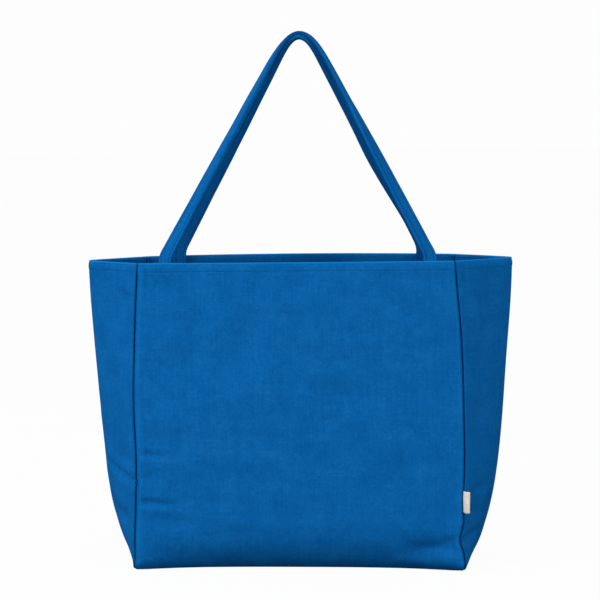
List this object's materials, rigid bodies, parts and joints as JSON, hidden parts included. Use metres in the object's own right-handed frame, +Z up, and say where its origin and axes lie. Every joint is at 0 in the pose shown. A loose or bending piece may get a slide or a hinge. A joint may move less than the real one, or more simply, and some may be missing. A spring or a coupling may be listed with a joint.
{
  "type": "cotton tote bag",
  "caption": "Blue canvas tote bag standing open, with side gussets folded outwards at the mouth, a turned hem, long strap handles meeting at the top and a small side label.",
  "frame": {"origin": "middle of the underside of the base, on the surface that the bag stands on", "axes": "+Z up towards the handles, -Y towards the front panel, +X towards the side with the label as seen from the front"},
  "size_m": [0.5108, 0.1535, 0.638],
  "materials": {
    "panel_canvas": "plain cotton canvas",
    "gusset_canvas": "plain cotton canvas",
    "strap_canvas": "folded cotton canvas",
    "label_ribbon": "woven ribbon"
  },
  "bodies": {
    "root": {"main_panel": "panel_canvas", "left_gusset": "gusset_canvas", "right_gusset": "gusset_canvas", "front_handle": "strap_canvas", "back_handle": "strap_canvas", "side_label": "label_ribbon"}
  },
  "joints": []
}
